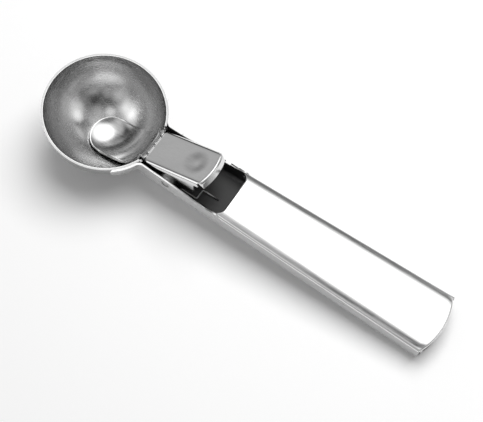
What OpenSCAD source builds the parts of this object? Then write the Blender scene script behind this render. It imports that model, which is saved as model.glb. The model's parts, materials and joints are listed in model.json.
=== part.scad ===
// Lever ice cream scoop in pressed and polished stainless steel, in millimetres.
// The pieces are drawn on a bench: the centre of the bowl's mouth is the origin, +X runs along
// the handle, +Y across it and +Z out of the mouth. on_table() then lays the whole scoop down
// as it rests, on the bottom of the bowl and the end of the handle.

/* [Bowl] */
// Outside diameter of the half-ball bowl
bowl_d = 60; // [50:1:66]
// Sheet thickness of the bowl
bowl_wall = 1; // [0.8:0.1:1.4]
// Lean of the mouth back towards the handle, degrees
mouth_lean = 4.7; // [2:0.1:6]

/* [Handle] */
// Length of the handle behind the bowl
handle_len = 156; // [120:1:185]
// Outside width of the neck where it leaves the bowl
neck_w = 24.6; // [24:0.1:27]
// Outside width of the handle at its end
end_w = 31.6; // [28:0.1:36]
// Height of the handle from its flat top to its flat underside
handle_h = 11.8; // [11:0.1:14]
// How far the flat top lies below the centre of the bowl
handle_drop = 2.5; // [2:0.1:3.5]
// Sheet thickness of the base
base_wall = 1; // [0.9:0.1:1.4]
// Sheet thickness of the cover
cover_wall = 1; // [0.8:0.1:1.4]
// Depth of the seam below the flat top
seam_drop = 2.3; // [2:0.1:3]
// Radius of the cover's rounded shoulder
shoulder_r = 2.2; // [1.8:0.1:2.6]
// Radius of the edges along the underside
keel_r = 3; // [2.2:0.1:4]
// Radius of the bowed end of the handle
end_bow_r = 34; // [26:1:60]
// Radius of the lower edge along the bowed end
end_keel_r = 2.4; // [1.8:0.1:2.8]
// Radius of the upper edge along the bowed end
end_shoulder_r = 2; // [1.6:0.1:2.4]
// Length of the open channel from the bowl to the front edge of the cover
channel_len = 44; // [41:0.2:60]
// Radius in the corners of the cover's front edge
cover_corner_r = 2; // [1:0.1:3]
// Depth of the lap that locates the cover inside the base
lap_depth = 3; // [2:0.1:4]
// Height of the fine groove along the seam
groove = 0.3; // [0.2:0.05:0.5]

/* [Neck] */
// Length of neck behind the bowl that still follows the mouth
neck_run = 5; // [4:0.5:8]
// Dip of the neck's upper edge below its two ends
neck_dip = 0.75; // [0.4:0.05:1.2]
// Radius of the bend where the neck's walls flare round the bowl
flare_r = 3; // [2:0.1:4]
// Radius of the flared wing's round nose
wing_r = 14; // [12:0.5:16]

/* [Lever] */
// Outside width of the thumb lever
lever_w = 20.2; // [18:0.1:20.6]
// Sheet thickness of the lever
lever_t = 1; // [0.8:0.1:1.2]
// Slope of the thumb plate above the handle, degrees
lever_slope = 23; // [20:0.5:25]
// Length of the thumb plate from its fold to the rear flange
plate_len = 38.6; // [36:0.2:42]
// How far inside the bowl's outer face the fold between plate and tongue lies
fold_inset = 3.4; // [3:0.1:4.4]
// How far the fold lies below the centre of the bowl
fold_drop = 4.2; // [3.8:0.1:5]
// Radius of the rounded sides of the plate
plate_edge_r = 2; // [1.5:0.1:2.5]
// Radius of the bowed rear edge of the plate
rear_bow_r = 24; // [18:1:40]
// Outside radius of the bend into the rear flange
rear_bend_r = 1.4; // [1.2:0.1:2]
// Height of the rear flange
flange_h = 4.2; // [3:0.1:5]
// Width of the rear flange
flange_w = 17.6; // [14:0.2:18]
// Distance from the fold back to the front of the side skirts
skirt_set = 3; // [2.6:0.1:5]
// Length of the side skirts
skirt_len = 27.8; // [24:0.2:29]
// Height of the skirt's rear corner above the pivot
skirt_lift = 5; // [4:0.1:6]
// Diameter of the round thumb dimple
dimple_d = 13; // [9:0.5:15]
// Depth of the thumb dimple
dimple_depth = 0.8; // [0.5:0.1:1.4]
// Distance from the rear edge of the plate to the middle of the dimple
dimple_back = 11; // [9:0.2:14]

/* [Tongue] */
// Width of the tongue where it lies in the bowl
tongue_w = 21; // [16:0.2:22]
// Width of the tongue at the fold
waist_w = 16.8; // [14:0.2:18]
// Sheet thickness of the tongue
tongue_t = 0.9; // [0.7:0.1:1.1]
// Running gap between the tongue and the bowl
tongue_gap = 0.4; // [0.3:0.05:0.8]
// Angle by which the tongue's tip passes the bottom of the bowl, degrees
tongue_pass = 18.5; // [5:0.5:30]

/* [Pivot] */
// Distance from the bowl to the pivot
pivot_back = 13; // [12:0.2:14]
// How far the pivot lies below the centre of the bowl
pivot_drop = 6.9; // [6.4:0.1:7.2]
// Diameter of the pin's shank
pin_d = 3.6; // [3:0.1:3.8]
// Diameter of the pin's peened heads
head_d = 4.3; // [4.1:0.1:4.6]
// Thickness of the pin's peened heads
head_t = 0.4; // [0.3:0.05:0.5]
// Depth of the recess that each head is peened into
recess = 0.5; // [0.4:0.05:0.6]
// Outside diameter of the bearing sleeve
sleeve_d = 5.4; // [5:0.1:5.6]
// Radius of the lever's ears around the pivot
ear_r = 4.6; // [4:0.1:5]
// Outside diameter of the spacer washers
washer_d = 8.4; // [7:0.1:9]
// Thickness of the spacer washers
washer_t = 1.2; // [0.8:0.05:1.3]
// Radial clearance of the lever's ears on the sleeve
running_fit = 0.06; // [0.03:0.01:0.09]

/* [Spring] */
// Wire diameter of the return spring
wire_d = 0.8; // [0.6:0.1:1]
// Full turns of the coil
coil_turns = 4; // [3:1:5]
// Space between the turns of the coil
turn_gap = 0.08; // [0.05:0.01:0.15]
// Space between the coil and the sleeve
coil_gap = 0.5; // [0.3:0.05:0.6]
// Distance from the coil's outer turn to the lever's skirt
coil_side_gap = 0.7; // [0.4:0.1:1]
// Length of the floor leg from the pivot to its sideways jog
leg_run = 15; // [11:0.5:18]
// Sideways jog of the floor leg
leg_jog = 5.3; // [2:0.1:6]
// Length of the floor leg behind its jog
leg_tail = 9; // [4:0.5:10]
// Length of the upper leg that lies along the underside of the plate
leg_rest = 7; // [4:0.5:9]

/* [Hidden] */
$fn = 96;
big = 400;
touch = 0.05;

// Places along the handle, from the centre of the bowl
bowl_r = bowl_d / 2;
handle_reach = bowl_r + handle_len;
cover_front = bowl_r + channel_len;
neck_start = bowl_r + neck_run;
fold_reach = bowl_r - fold_inset;
skirt_front = fold_reach + skirt_set;
skirt_rear = skirt_front + skirt_len;
pivot_reach = bowl_r + pivot_back;

// Levels, from the centre of the bowl
top_z = -handle_drop;
keel_z = top_z - handle_h;
floor_z = keel_z + base_wall;
seam_z = top_z - seam_drop;

neck_half = neck_w / 2;
taper = atan((end_w - neck_w) / 2 / (handle_reach - neck_start));
// How far open bars and cuts run past what they cut
spare = 20;
open_rise = 6;

// Where a wall of the handle stands at a given distance from the bowl
function wall_half(x, inset = 0) =
    neck_half + (x - neck_start) * tan(taper) - inset / cos(taper);
// Height of the mouth's plane at a given distance from the centre
function mouth_z(x) = -x * tan(mouth_lean);
// Height of the thumb plate's upper face at a given distance from the bowl
function plate_z(x) = (x - fold_reach) * tan(lever_slope) - fold_drop;

// The table touches the round bottom of the bowl and the round lower edge of the handle's end,
// and the round shoulder of the cover reaches furthest
end_edge_x = handle_reach - end_keel_r;
end_edge_z = keel_z + end_keel_r;
lie = atan2(end_edge_z, end_edge_x)
    + asin((bowl_r - end_keel_r) / norm([end_edge_x, end_edge_z]));
lying_reach = (handle_reach - end_shoulder_r) * cos(lie)
    + (top_z - end_shoulder_r) * sin(lie) + end_shoulder_r;
middle_x = (lying_reach - bowl_r) / 2;

// Lays the bench drawing on the table, with the origin under the middle of its length
module on_table() {
    translate([-middle_x, 0, bowl_r]) rotate([0, lie, 0]) children();
}

module both_sides() {
    children();
    mirror([0, 1, 0]) children();
}

// Turns a drawing in X and Z into a slab across the handle
module across(width) {
    rotate([90, 0, 0]) linear_extrude(width, center = true) children();
}

// Everything above a level, from x_from to x_to
module above(z, x_from, x_to) {
    translate([x_from, -big / 2, z]) cube([x_to - x_from, big, big]);
}

// ---- Handle blank: base and cover are both cut from this rounded bar ----

// Upright outline of the bar from its middle to one face, drawn in by an inset
module edge_outline(reach, keel, shoulder, inset, lidded, from = 0) {
    w = reach - inset;
    low = keel_z + inset;
    high = lidded ? top_z - inset : top_z + open_rise;
    low_r = max(keel - inset, 0.2);
    high_r = lidded ? max(shoulder - inset, 0.2) : 0;
    translate([from, low]) square([w - low_r - from, high - low]);
    translate([from, low + low_r]) square([w - high_r - from, high - low - low_r]);
    translate([from, low + low_r]) square([w - from, high - high_r - low - low_r]);
    translate([w - low_r, low + low_r]) circle(low_r);
    if (lidded) translate([w - high_r, high - high_r]) circle(high_r);
}

bow_x = handle_reach - end_bow_r;

// One half of the bar: a straight extrusion turned by the taper and cut along the middle
module half_bar(inset, lidded, front) {
    intersection() {
        translate([neck_start, neck_half, 0])
            rotate([0, 0, taper])
                translate([front - neck_start, -neck_half, 0])
                    rotate([90, 0, 90])
                        linear_extrude(handle_reach - front + spare)
                            edge_outline(neck_half, keel_r, shoulder_r, inset, lidded,
                                         -neck_half);
        translate([-big / 2, 0, -big / 2]) cube(big);
    }
}

// The whole bar with its bowed end, drawn in by an inset
module handle_blank(inset, lidded, front) {
    intersection() {
        both_sides() half_bar(inset, lidded, front);
        union() {
            translate([bow_x, 0, 0]) rotate_extrude($fn = 192)
                edge_outline(end_bow_r, end_keel_r, end_shoulder_r, inset, lidded);
            translate([front - spare, -end_bow_r, keel_z - open_rise])
                cube([bow_x - front + spare, 2 * end_bow_r, handle_h + 2 * open_rise]);
        }
    }
}

// ---- Bowl ----

// The lever crosses the rim in a notch that leaves clearance round the plate
notch_gap = 0.7;
notch_half = lever_w / 2 + notch_gap;
notch_z = plate_z(fold_reach) - lever_t / cos(lever_slope) - notch_gap;
notch_r = 1.5;

module bowl() color("lightgray") on_table() {
    difference() {
        rotate([0, mouth_lean, 0]) rotate([0, 0, 180]) rotate_extrude($fn = 192) intersection() {
            difference() {
                circle(bowl_r, $fn = 192);
                circle(bowl_r - bowl_wall, $fn = 192);
            }
            translate([0, -bowl_r]) square(bowl_r);
        }
        rim_notch();
    }
}

// Slot through the back of the rim, with round lower corners
module rim_notch() {
    rotate([90, 0, 90]) translate([0, 0, bowl_r / 2]) linear_extrude(bowl_r) {
        translate([-notch_half, notch_z + notch_r]) square([2 * notch_half, bowl_r]);
        translate([-notch_half + notch_r, notch_z]) square([2 * (notch_half - notch_r), bowl_r]);
        for (side = [-1, 1])
            translate([side * (notch_half - notch_r), notch_z + notch_r]) circle(notch_r);
    }
}

// ---- Base: neck and lower half of the handle in one sheet ----

// The neck's walls flare round the bowl. Sheet, bend and wall are one profile, spun about the
// line through the bowl's centre square to the wall. The bend's circles dip a little into the
// ball and the wall, so that they cross cleanly.
saddle_r = bowl_r + touch;
wall_off = neck_half * cos(taper) - neck_start * sin(taper);
dip_in = 0.02;
bend_y = wall_off + flare_r - dip_in;
bend_x = sqrt(pow(saddle_r + base_wall + flare_r - dip_in, 2) - pow(bend_y, 2));
flare_end = neck_start + 3.5;
flare_low = keel_z + keel_r;
wing_x = neck_start - 1;
wing_z = top_z - 1;

// All that lies on the bowl's side of one face of the sheet, which is so far out of its inside
module inside_of_sheet(out) {
    circle(saddle_r + out, $fn = 192);
    translate([0, -big]) square([big, big + wall_off - base_wall + out]);
    difference() {
        polygon([[0, 0], [bend_x, bend_y], [bend_x, 0]]);
        translate([bend_x, bend_y]) circle(flare_r + base_wall - out);
    }
}

module flare_profile() {
    intersection() {
        difference() {
            inside_of_sheet(base_wall);
            inside_of_sheet(0);
        }
        square([flare_end + wing_r, bowl_d]);
    }
}

// One flared wall, level with the bar behind and cut to a round nose in front
module flared_wall() {
    difference() {
        intersection() {
            rotate([0, 0, taper]) rotate([-90, 0, 0]) rotate([0, 0, 180])
                rotate_extrude($fn = 192) flare_profile();
            translate([wing_x - wing_r, 0, flare_low])
                cube([flare_end - wing_x + wing_r, bowl_r * 2, wing_r]);
        }
        difference() {
            translate([0, 0, -bowl_r]) cube([wing_x, bowl_r * 2, bowl_d]);
            translate([wing_x, 0, wing_z]) rotate([90, 0, 0])
                cylinder(r = wing_r, h = big, center = true);
        }
    }
}

// Upper edge of the neck: it follows the mouth, dips in one long arc and steps down under the
// cover in a quarter round
cover_lip = 1.6;
step_x = cover_front - cover_lip;
dip_from = [neck_start, mouth_z(neck_start)];
dip_to = [step_x, top_z];
dip_chord = norm(dip_to - dip_from);
dip_r = (pow(dip_chord / 2, 2) + pow(neck_dip, 2)) / (2 * neck_dip);
dip_up = [-(dip_to - dip_from)[1], (dip_to - dip_from)[0]] / dip_chord;
dip_centre = (dip_from + dip_to) / 2 + (dip_r - neck_dip) * dip_up;

module above_neck() {
    intersection() {
        rotate([0, mouth_lean, 0]) above(0, -big / 2, big / 2);
        translate([-big / 2, -big / 2, -big / 2]) cube([big / 2 + neck_start, big, big]);
    }
    intersection() {
        translate([dip_centre[0], 0, dip_centre[1]])
            rotate([90, 0, 0]) cylinder(r = dip_r, h = big, center = true, $fn = 360);
        translate([neck_start, -big / 2, -big / 2]) cube([step_x - neck_start, big, big]);
    }
    difference() {
        above(seam_z, step_x, big);
        translate([step_x, 0, seam_z]) rotate([90, 0, 0])
            cylinder(r = seam_drop, h = big, center = true);
    }
}

// Row of coaxial bores across the neck for the pin and its peened heads
module pin_bores() {
    translate([pivot_reach, 0, -pivot_drop]) rotate([90, 0, 0]) {
        cylinder(d = pin_d, h = big, center = true);
        for (side = [-1, 1])
            translate([0, 0, side * (wall_half(pivot_reach) - recess + big / 2)])
                cylinder(d = head_d, h = big, center = true);
    }
}

module handle_base() color("silver") on_table() {
    difference() {
        union() {
            difference() {
                handle_blank(0, false, bowl_r * 0.7);
                handle_blank(base_wall, false, 0);
                above(flare_low, 0, flare_end);
                sphere(saddle_r);
            }
            both_sides() flared_wall();
        }
        above_neck();
        pin_bores();
    }
}

// ---- Cover: upper half of the handle ----

lap_fit = 0.1;
lap_t = 0.8;
step_fit = 0.12;
lap_in = base_wall + lap_fit;

module slice(z_from, z_to) {
    translate([-big / 2, -big / 2, z_from]) cube([big, big, z_to - z_from]);
}

// Plan of what lies in front of the cover: the open well with its two round corners
module well_plan() {
    half = wall_half(cover_front, base_wall);
    r = cover_corner_r;
    translate([0, -half + r]) square([cover_front, 2 * (half - r)]);
    translate([0, -big / 2]) square([cover_front - r, big]);
    for (side = [-1, 1]) translate([cover_front - r, side * (half - r)]) circle(r);
}

module handle_cover() color("whitesmoke") on_table() {
    difference() {
        union() {
            difference() {
                intersection() {
                    handle_blank(0, true, cover_front - spare);
                    slice(seam_z, top_z + 1);
                }
                handle_blank(cover_wall, true, 0);
            }
            // Ring that joins the cover's lip to its lap
            intersection() {
                difference() {
                    handle_blank(cover_wall / 2, true, cover_front - spare);
                    handle_blank(lap_in + lap_t, true, 0);
                }
                slice(seam_z, seam_z + 1);
            }
            intersection() {
                difference() {
                    handle_blank(lap_in, true, cover_front - spare);
                    handle_blank(lap_in + lap_t, true, 0);
                }
                slice(seam_z - lap_depth, seam_z + 1);
            }
        }
        // Fine groove along the seam
        intersection() {
            difference() {
                handle_blank(-1, true, 0);
                handle_blank(groove, true, 0);
            }
            slice(seam_z - 1, seam_z + groove);
        }
        translate([0, 0, keel_z]) linear_extrude(big) well_plan();
        translate([step_x, 0, seam_z]) rotate([90, 0, 0])
            cylinder(r = seam_drop + step_fit, h = big, center = true);
        translate([0, -big / 2, keel_z]) cube([step_x, big, big]);
        translate([0, -big / 2, keel_z])
            cube([step_x + seam_drop + step_fit, big, seam_z - keel_z]);
    }
}

// ---- Thumb lever: plate, skirts, flange and tongue in one sheet ----

lever_half = lever_w / 2;
bow_u = plate_len - rear_bow_r;
skirt_low = -pivot_drop + skirt_lift;

// From the plate's own frame, with u along the slope and n out of the plate, to the bench
module on_plate() {
    translate([fold_reach, 0, -fold_drop]) rotate([0, -lever_slope, 0]) children();
}

// Rounded sides of the plate with the skirts below them, drawn across the lever
module skirt_section(inset) {
    w = lever_half - inset;
    r = plate_edge_r - inset;
    translate([-w + r, -plate_len]) square([2 * (w - r), plate_len - inset]);
    translate([-w, -plate_len]) square([2 * w, plate_len - inset - r]);
    for (side = [-1, 1]) translate([side * (w - r), -inset - r]) circle(r);
}

// Side view of the skirts and of the band that the plate itself fills
module lever_side() {
    plate_deep = plate_edge_r + 0.4;
    behind = fold_reach + plate_len + spare;
    across(big) {
        // Band along the plate
        polygon([[fold_reach, plate_z(fold_reach) + 1],
                 [fold_reach, plate_z(fold_reach) - lever_t / cos(lever_slope)],
                 [skirt_front, plate_z(skirt_front) - lever_t / cos(lever_slope)],
                 [skirt_rear, plate_z(skirt_rear) - plate_deep],
                 [behind, plate_z(behind) - plate_deep], [behind, plate_z(behind) + 1]]);
        // Skirt down to the ear
        polygon([[skirt_front, plate_z(skirt_front) + 1], [skirt_front, -pivot_drop + 1],
                 [pivot_reach - ear_r * sin(20), -pivot_drop - ear_r * cos(20)],
                 [pivot_reach + ear_r * sin(20), -pivot_drop - ear_r * cos(20)],
                 [skirt_rear - 1, skirt_low], [skirt_rear, skirt_low + 1],
                 [skirt_rear, plate_z(skirt_rear)]]);
        translate([pivot_reach, -pivot_drop]) circle(ear_r);
    }
}

// Plan of the plate: narrow at the fold, full width behind the rim, bowed at the rear
module plate_plan() {
    corner_u = (skirt_front - fold_reach) / cos(lever_slope);
    intersection() {
        polygon([[0, -waist_w / 2], [corner_u, -lever_half], [plate_len, -lever_half],
                 [plate_len, lever_half], [corner_u, lever_half], [0, waist_w / 2]]);
        translate([bow_u, 0]) union() {
            circle(rear_bow_r - rear_bend_r, $fn = 192);
            translate([-bow_u, -lever_w]) square([bow_u, 2 * lever_w]);
        }
    }
}

// Rear edge of the plate, its bend and the flange, spun about the middle of the bow
module rear_flange() {
    sheet = [rear_bow_r - rear_bend_r, -rear_bend_r];
    intersection() {
        translate([bow_u, 0, 0]) rotate_extrude($fn = 192) {
            translate([rear_bow_r - 6, -lever_t]) square([6 - rear_bend_r, lever_t]);
            translate([rear_bow_r - lever_t, -flange_h]) square([lever_t, flange_h - rear_bend_r]);
            intersection() {
                translate(sheet) difference() {
                    circle(rear_bend_r);
                    circle(rear_bend_r - lever_t);
                }
                translate(sheet) square(rear_bend_r);
            }
        }
        translate([bow_u + 10, -flange_w / 2, -big / 2]) cube([big, flange_w, big]);
    }
}

dimple_u = plate_len - dimple_back;
dimple_r = (pow(dimple_d / 2, 2) + pow(dimple_depth, 2)) / (2 * dimple_depth);

module dimple_ball(r) {
    translate([dimple_u, 0, dimple_r - dimple_depth]) sphere(r, $fn = 192);
}

// Tongue: a strip of a ball that lies in the bowl, with a flat shank up to the fold
tongue_r = bowl_r - bowl_wall - tongue_gap;
tip_centre = tongue_w / 2 - tongue_r * sin(tongue_pass);

module tongue() {
    intersection() {
        difference() {
            sphere(tongue_r, $fn = 192);
            intersection() {
                sphere(tongue_r - tongue_t, $fn = 192);
                translate([-big, -big / 2, -big / 2]) cube([big + fold_reach, big, big]);
            }
        }
        translate([-big, -big / 2, -big / 2]) cube([big + fold_reach + tongue_t, big, big]);
        translate([0, 0, -bowl_r]) linear_extrude(bowl_r) {
            translate([tip_centre, 0]) circle(d = tongue_w);
            polygon([[tip_centre, -tongue_w / 2], [bowl_r * 0.65, -tongue_w / 2],
                     [fold_reach, -waist_w / 2], [bowl_r, -waist_w / 2],
                     [bowl_r, waist_w / 2], [fold_reach, waist_w / 2],
                     [bowl_r * 0.65, tongue_w / 2], [tip_centre, tongue_w / 2]]);
        }
        on_plate() translate([-big / 2, -big / 2, -big]) cube(big);
    }
}

module thumb_lever() color("gainsboro") on_table() {
    difference() {
        union() {
            intersection() {
                on_plate() difference() {
                    intersection() {
                        rotate([90, 0, 90]) linear_extrude(plate_len) skirt_section(0);
                        translate([0, 0, -big / 2]) linear_extrude(big) plate_plan();
                    }
                    translate([-1, 0, 0]) rotate([90, 0, 90])
                        linear_extrude(plate_len + 2) skirt_section(lever_t);
                    dimple_ball(dimple_r);
                }
                lever_side();
            }
            on_plate() rear_flange();
            // Underside of the dimple
            on_plate() intersection() {
                difference() {
                    dimple_ball(dimple_r + lever_t);
                    dimple_ball(dimple_r);
                }
                translate([0, -lever_half, -lever_t - dimple_depth])
                    cube([plate_len, lever_w, lever_t + dimple_depth - 0.01]);
            }
            tongue();
        }
        translate([pivot_reach, 0, -pivot_drop]) rotate([90, 0, 0])
            cylinder(d = sleeve_d + 2 * running_fit, h = big, center = true);
    }
}

// ---- Pivot ----

// Everything on the pivot is turned about this axis, with its own z along the pin
module on_pivot() {
    translate([pivot_reach, 0, -pivot_drop]) rotate([90, 0, 0]) children();
}

pin_half = wall_half(pivot_reach) - recess;
sleeve_half = wall_half(pivot_reach - sleeve_d / 2, base_wall) - touch;

module pivot_pin() color("gray") on_table() on_pivot() {
    cylinder(d = pin_d - 2 * touch, h = 2 * pin_half, center = true);
    for (side = [-1, 1])
        translate([0, 0, side * (pin_half + head_t / 2)])
            cylinder(d = head_d - 2 * touch, h = head_t, center = true);
}

module pivot_sleeve() color("darkgray") on_table() on_pivot() {
    difference() {
        cylinder(d = sleeve_d, h = 2 * sleeve_half, center = true);
        cylinder(d = pin_d, h = big, center = true);
    }
}

module washer() {
    on_pivot() translate([0, 0, lever_half + touch]) difference() {
        cylinder(d = washer_d, h = washer_t);
        translate([0, 0, -1]) cylinder(d = sleeve_d + 2 * running_fit, h = washer_t + 2);
    }
}

module left_washer() color("dimgray") on_table() mirror([0, 1, 0]) washer();

module right_washer() color("dimgray") on_table() washer();

// ---- Return spring ----

coil_r = sleeve_d / 2 + coil_gap + wire_d / 2;
pitch = wire_d + turn_gap;
leg_gap = 0.15;
coil_y = lever_half - lever_t - coil_side_gap - wire_d / 2;
leg_z = floor_z + pivot_drop + wire_d / 2 + leg_gap;
leave = 140;
steps = 20;
sides = 8;

// The coil starts at its lowest point and winds towards the front of the scoop
coil_sweep = 360 * coil_turns + 270 - leave;
coil_count = round(coil_sweep / 360 * steps);
coil = [for (i = [0:coil_count]) let (a = -90 - coil_sweep * i / coil_count)
    [coil_r * cos(a), -coil_y + pitch * coil_sweep / 360 * i / coil_count, coil_r * sin(a)]];

// The upper leg climbs to the underside of the dimple and lies along the plate
under_plate = plate_z(pivot_reach) + pivot_drop
    - (lever_t + dimple_depth + wire_d / 2 + leg_gap) / cos(lever_slope);
climb = [sin(leave), -cos(leave)];
coil_end = coil[coil_count];
climb_by = (under_plate + coil_end[0] * tan(lever_slope) - coil_end[2])
    / (climb[1] - climb[0] * tan(lever_slope));
rest_from = coil_end + climb_by * [climb[0], 0, climb[1]];
rest_to = rest_from + leg_rest * [cos(lever_slope), 0, sin(lever_slope)];

jog_y = -coil_y + leg_jog;
jog_bend = 0.4;
floor_leg = [[leg_run + leg_tail, jog_y, leg_z], [leg_run + jog_bend, jog_y, leg_z],
             [leg_run, jog_y - jog_bend, leg_z], [leg_run, -coil_y + jog_bend, leg_z],
             [leg_run - jog_bend, -coil_y, leg_z], [coil_r + wire_d, -coil_y, leg_z]];
wire_path = concat(floor_leg, coil, [rest_from, rest_to]);

// Tube of the wire's diameter along a path, with its ends closed
module tube(path, r) {
    n = len(path);
    along = [for (i = [0:n - 1])
        let (d = path[min(i + 1, n - 1)] - path[max(i - 1, 0)]) d / norm(d)];
    rings = [for (i = [0:n - 1])
        let (across = cross(along[i], [0, 1, 0.01]), u = across / norm(across),
             v = cross(along[i], u))
            for (k = [0:sides - 1])
                let (a = 360 * k / sides) path[i] + r * (cos(a) * u + sin(a) * v)];
    polyhedron(rings, concat(
        [[for (k = [0:sides - 1]) k]],
        [[for (k = [sides - 1:-1:0]) (n - 1) * sides + k]],
        [for (i = [0:n - 2], k = [0:sides - 1]) let (l = (k + 1) % sides)
            [i * sides + l, i * sides + k, (i + 1) * sides + k, (i + 1) * sides + l]]));
}

module return_spring() color("slategray") on_table()
    translate([pivot_reach, 0, -pivot_drop]) tube(wire_path, wire_d / 2);

bowl();
handle_base();
handle_cover();
thumb_lever();
pivot_pin();
pivot_sleeve();
left_washer();
right_washer();
return_spring();
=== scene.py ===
# %% [markdown]
# # Lever ice cream scoop
# The construction comes from the frame: nine pieces of stainless steel on two bodies, the handle
# and the thumb lever. This lesson dresses them. It places the camera, mixes the finishes, makes
# the pieces that need rounder edges or softer bends than the plain solids have, and lights
# everything in a small studio.

# %% Load the frame
import json
import math

import bmesh
import bpy
from mathutils import Matrix, Vector


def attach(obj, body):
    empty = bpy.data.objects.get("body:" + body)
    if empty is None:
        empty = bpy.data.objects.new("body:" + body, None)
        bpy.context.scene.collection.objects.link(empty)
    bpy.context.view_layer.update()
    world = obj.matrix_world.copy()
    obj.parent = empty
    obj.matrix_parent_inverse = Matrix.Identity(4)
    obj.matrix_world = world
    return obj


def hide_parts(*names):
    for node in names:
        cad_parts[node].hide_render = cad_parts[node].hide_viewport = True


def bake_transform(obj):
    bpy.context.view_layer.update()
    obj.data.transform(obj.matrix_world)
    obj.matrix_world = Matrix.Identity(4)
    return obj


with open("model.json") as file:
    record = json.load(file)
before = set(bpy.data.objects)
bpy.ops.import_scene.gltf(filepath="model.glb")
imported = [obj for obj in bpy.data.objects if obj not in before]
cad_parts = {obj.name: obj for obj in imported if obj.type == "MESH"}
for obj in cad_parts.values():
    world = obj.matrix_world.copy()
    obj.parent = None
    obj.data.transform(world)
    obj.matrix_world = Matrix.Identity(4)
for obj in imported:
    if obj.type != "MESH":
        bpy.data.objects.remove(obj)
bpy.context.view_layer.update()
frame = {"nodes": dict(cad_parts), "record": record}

MM = 0.001
scene = bpy.context.scene
nodes = frame["nodes"]
print("pieces:", ", ".join(sorted(nodes)))

# %% [markdown]
# ## Dimensions
# The scoop is drawn on a bench whose origin is the centre of the bowl's mouth, with +X along the
# handle and +Z out of the mouth. One matrix then lays it on the table, where it leans on the bowl
# and on the end of the handle. Every piece is shaped in bench millimetres and moved by that matrix
# last, because straight numbers are easier to follow than tilted ones.

# %% Sizes on the bench, in millimetres
bowl_r, sheet = 30.0, 1.0
mouth_lean, lie = math.radians(4.7), math.radians(4.9192)
middle_x = 77.4682
top_z, seam_z, under_z = -2.5, -4.8, -14.3
neck_start, neck_half = 35.0, 12.3
handle_reach, end_half, end_bow_r = 186.0, 15.8, 34.0
cover_front, corner_r = 74.0, 4.0
pivot_x, pivot_z = 43.0, -6.9
lever_half, lever_slope = 10.1, math.radians(23)
fold_x, fold_z, plate_len = 26.6, -4.2, 38.6

on_table = Matrix.Diagonal((MM, MM, MM, 1)) @ Matrix.Translation(
    (-middle_x, 0, bowl_r)) @ Matrix.Rotation(lie, 4, "Y")
bowl_centre = on_table @ Vector((0, 0, 0))
bowl_axis = Vector((math.sin(lie + mouth_lean), 0, math.cos(lie + mouth_lean)))


def wall_half(x):
    """Half the handle's width at a distance from the bowl's centre."""
    return neck_half + (x - neck_start) * (end_half - neck_half) / (handle_reach - neck_start)


print("handle width", round(2 * wall_half(neck_start), 1), "to",
      round(2 * wall_half(handle_reach), 1))

# %% [markdown]
# ## Camera
# A camera is easiest to understand as a point on a ball round what it looks at: how far round it
# stands, how high, how far away and how much it is tipped. A long lens keeps the handle's edges
# nearly parallel.

# %% Place the camera
camera_turn = math.radians(36.4196)
camera_rise = math.radians(65.7697)
camera_tip = math.radians(-3.199)
camera_target = Vector((-2.754, 2.642, 0)) * MM
camera_distance = 510.02 * MM
camera_lens = 78.952

back = Vector((math.sin(camera_turn) * math.cos(camera_rise),
               -math.cos(camera_turn) * math.cos(camera_rise), math.sin(camera_rise)))
level_right = Vector((math.cos(camera_turn), math.sin(camera_turn), 0))
level_up = back.cross(level_right)
right = math.cos(camera_tip) * level_right + math.sin(camera_tip) * level_up
up = back.cross(right)

camera = bpy.data.objects.new("camera", bpy.data.cameras.new("camera"))
scene.collection.objects.link(camera)
camera.data.lens = camera_lens
camera.data.sensor_width = 36
camera.data.sensor_fit = "HORIZONTAL"
camera.data.clip_start = 0.01
camera.matrix_world = Matrix.Translation(camera_target + camera_distance * back) @ Matrix(
    (right, up, back)).transposed().to_4x4()
scene.camera = camera
scene.view_settings.view_transform = "Standard"
print("camera at", [round(c, 4) for c in camera.location])

# %% [markdown]
# ## Node helpers
# A material is a small graph. It could be clicked together in the editor, but in a script each
# node takes several lines. These helpers add a node, set its plain values and link its inputs in
# one call, so that the graphs below read like formulas.

# %% Add nodes
def add(tree, kind, inputs=None, **settings):
    """Adds one node, sets its properties and fills or links its inputs."""
    node = tree.nodes.new(kind)
    for key, value in settings.items():
        setattr(node, key, value)
    for key, value in (inputs or {}).items():
        if isinstance(value, bpy.types.NodeSocket):
            tree.links.new(value, node.inputs[key])
        else:
            node.inputs[key].default_value = value
    return node


def math_node(tree, operation, *values, clamp=False):
    """One Math node with its operands, and its output socket."""
    inputs = dict(enumerate(values))
    return add(tree, "ShaderNodeMath", inputs, operation=operation, use_clamp=clamp).outputs[0]


def vector_node(tree, operation, *values):
    """One Vector Math node with its operands, and its vector socket."""
    return add(tree, "ShaderNodeVectorMath", dict(enumerate(values)),
               operation=operation).outputs["Vector"]


def vector_value(tree, operation, *values):
    """One Vector Math node whose result is a number, such as a length."""
    return add(tree, "ShaderNodeVectorMath", dict(enumerate(values)),
               operation=operation).outputs["Value"]


def scaled(tree, vector, factor):
    """A vector times a number."""
    return add(tree, "ShaderNodeVectorMath", {0: vector, "Scale": factor},
               operation="SCALE").outputs["Vector"]


print("node helpers ready")

# %% Ranges, noise and groups
def remap(tree, value, low, high, to_low=0.0, to_high=1.0):
    """Turns one range of a value into another, held inside its ends."""
    inputs = {"Value": value, "From Min": low, "From Max": high,
              "To Min": to_low, "To Max": to_high}
    return add(tree, "ShaderNodeMapRange", inputs).outputs["Result"]


def noise(tree, vector, scale, detail=2.0, roughness=0.5):
    """Noise of one scale, from 0 to 1."""
    inputs = {"Vector": vector, "Scale": scale, "Detail": detail, "Roughness": roughness}
    return add(tree, "ShaderNodeTexNoise", inputs).outputs["Fac"]


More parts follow.
